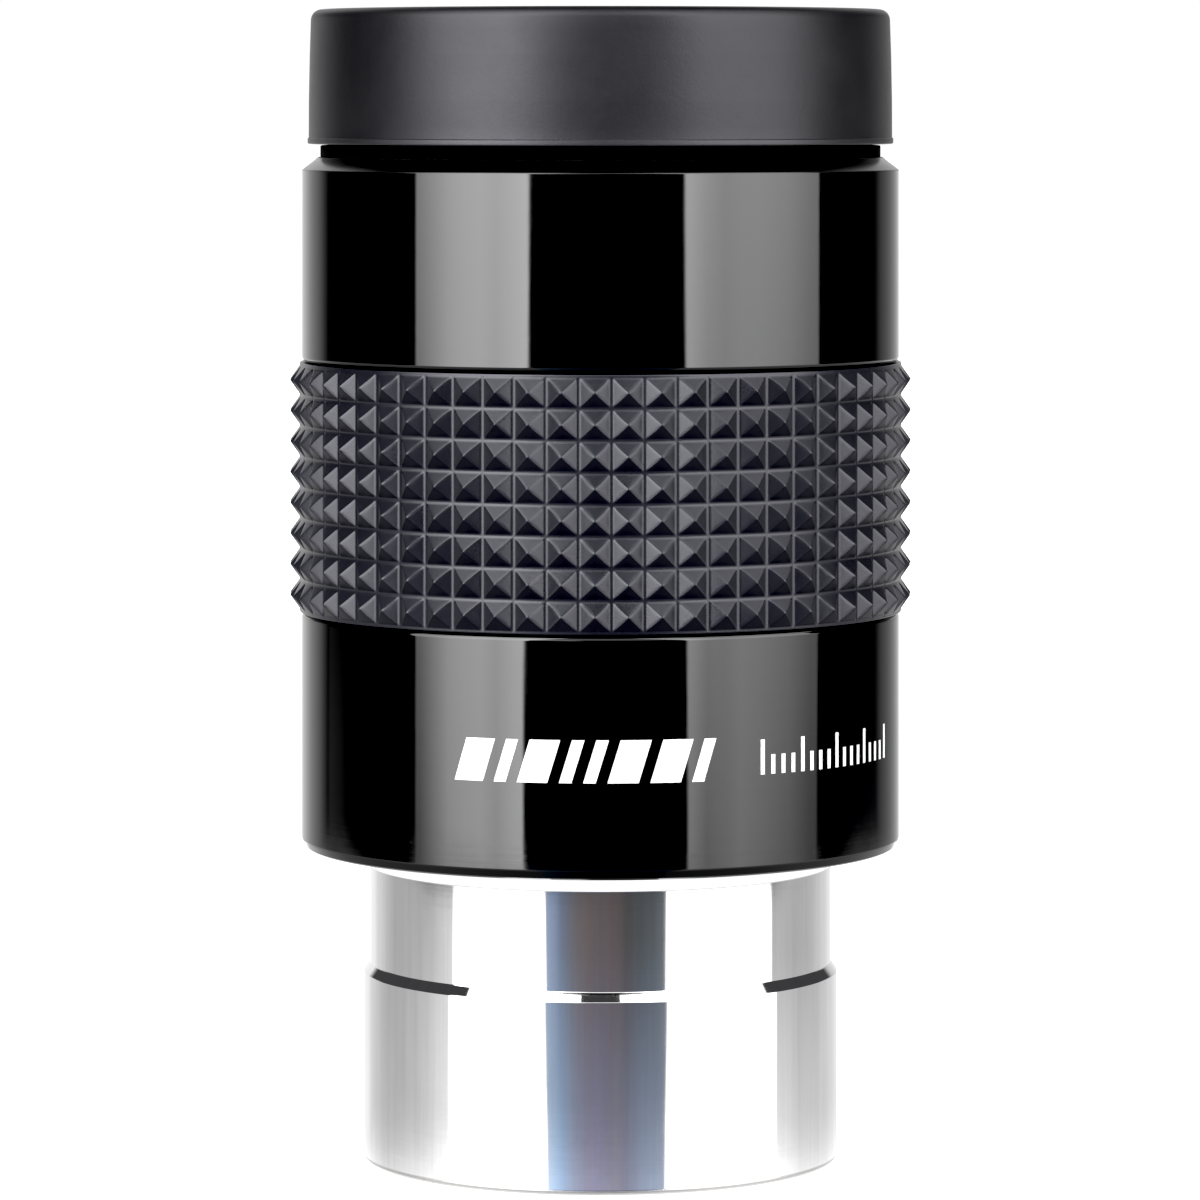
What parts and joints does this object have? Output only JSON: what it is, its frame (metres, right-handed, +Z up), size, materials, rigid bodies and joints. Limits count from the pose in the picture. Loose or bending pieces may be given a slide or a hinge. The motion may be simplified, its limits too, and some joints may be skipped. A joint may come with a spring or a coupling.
{
  "type": "telescope eyepiece",
  "caption": "Telescope eyepiece with a chromed push-fit nosepiece, gloss black housing, studded rubber grip band, cemented doublet lenses and a fold-up rubber eyecup.",
  "frame": {"origin": "centre of the nosepiece's open bottom face, the end that goes into the telescope", "axes": "+Z up the optical axis towards the eye; +X and +Y across it, with the printed marks on the housing facing -Y"},
  "size_m": [0.0418, 0.0418, 0.0769],
  "materials": {
    "chrome_plate": "polished chrome plate outside, matt black inside the bore",
    "gloss_black_lacquer": "high-gloss black lacquer on turned aluminium",
    "black_anodised": "matt black anodised",
    "grip_rubber": "moulded rubber, fine matt texture",
    "eyecup_rubber": "soft satin rubber",
    "crown_glass": "polished crown glass, coated on the air side",
    "flint_glass": "polished flint glass, coated on the air side"
  },
  "bodies": {
    "housing": {"outer_housing": "gloss_black_lacquer", "rubber_grip": "grip_rubber", "eyecup_mount": "black_anodised", "eyecup": "eyecup_rubber", "eyecup_skirt": "eyecup_rubber", "lens_cell": "black_anodised", "field_lens_flint": "flint_glass", "field_lens_crown": "crown_glass", "lens_spacer": "black_anodised", "eye_lens_crown": "crown_glass", "eye_lens_flint": "flint_glass", "lens_retaining_ring": "black_anodised"},
    "eyecup_rim": {"eyecup_rim": "eyecup_rubber"},
    "field_stop": {"field_stop_ring": "black_anodised"},
    "nosepiece": {"nosepiece": "chrome_plate"}
  },
  "joints": [
    {"name": "eyecup_raise", "type": "slide", "parent": "housing", "child": "eyecup_rim", "axis": [0, 0, 1], "range_m": [0, 0.0171], "deforming": ["eyecup_skirt"]},
    {"name": "nosepiece_travel", "type": "slide", "parent": "housing", "child": "field_stop", "axis": [0, 0, -1], "range_m": [0, 0.00413]},
    {"name": "nosepiece_unscrew", "type": "hinge", "parent": "field_stop", "child": "nosepiece", "pos_m": [0, 0, 0.0209], "axis": [0, 0, -1], "range_deg": [0, 1980]}
  ],
  "couplings": [
    {"joint": "nosepiece_travel", "follows": "nosepiece_unscrew", "m_per_rad": 0.00011937}
  ]
}
